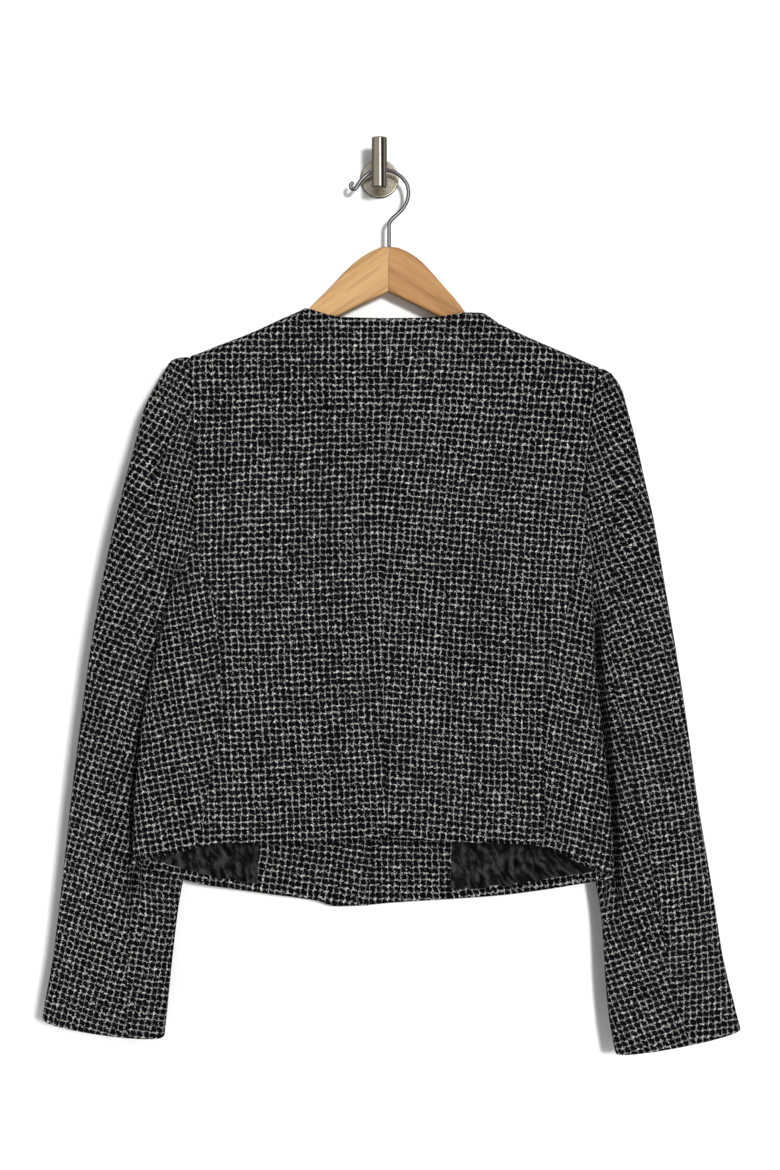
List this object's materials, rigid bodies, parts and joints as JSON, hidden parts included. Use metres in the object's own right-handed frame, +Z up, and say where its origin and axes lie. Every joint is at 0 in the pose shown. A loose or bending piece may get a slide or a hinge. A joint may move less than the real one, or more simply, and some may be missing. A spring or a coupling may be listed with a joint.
{
  "type": "cropped tweed jacket on a wooden hanger and wall hook",
  "caption": "Collarless cropped tweed jacket with set-in sleeves and side panels, hung with its back to the room on a wooden hanger from a round wall hook.",
  "frame": {"origin": "middle of the back face of the wall plate", "axes": "+Z up; the wall is the plane y = 0 and the room lies towards -Y, so the back of the jacket faces -Y and its front faces the wall"},
  "size_m": [0.6532, 0.0775, 0.8546],
  "materials": {
    "tweed": "matt boucle tweed in black, charcoal and grey",
    "satin": "black satin, slightly shiny",
    "wood": "varnished honey-coloured wood",
    "chrome": "bright plated wire",
    "nickel": "satin nickel",
    "button": "plain black"
  },
  "bodies": {
    "root": {"back_left": "tweed", "back_right": "tweed", "side_left": "tweed", "side_right": "tweed", "front_left": "tweed", "front_right": "tweed", "facing_left": "tweed", "facing_right": "tweed", "hem_left": "tweed", "hem_right": "tweed", "upper_sleeve_left": "tweed", "upper_sleeve_right": "tweed", "under_sleeve_left": "tweed", "under_sleeve_right": "tweed", "lining_left": "satin", "lining_right": "satin", "hanger_left": "wood", "hanger_right": "wood", "hanger_hook": "chrome", "hook_plate": "nickel", "hook_stem": "nickel", "hook_pin": "nickel", "button_1": "button", "button_2": "button", "button_3": "button", "button_4": "button"}
  },
  "joints": []
}
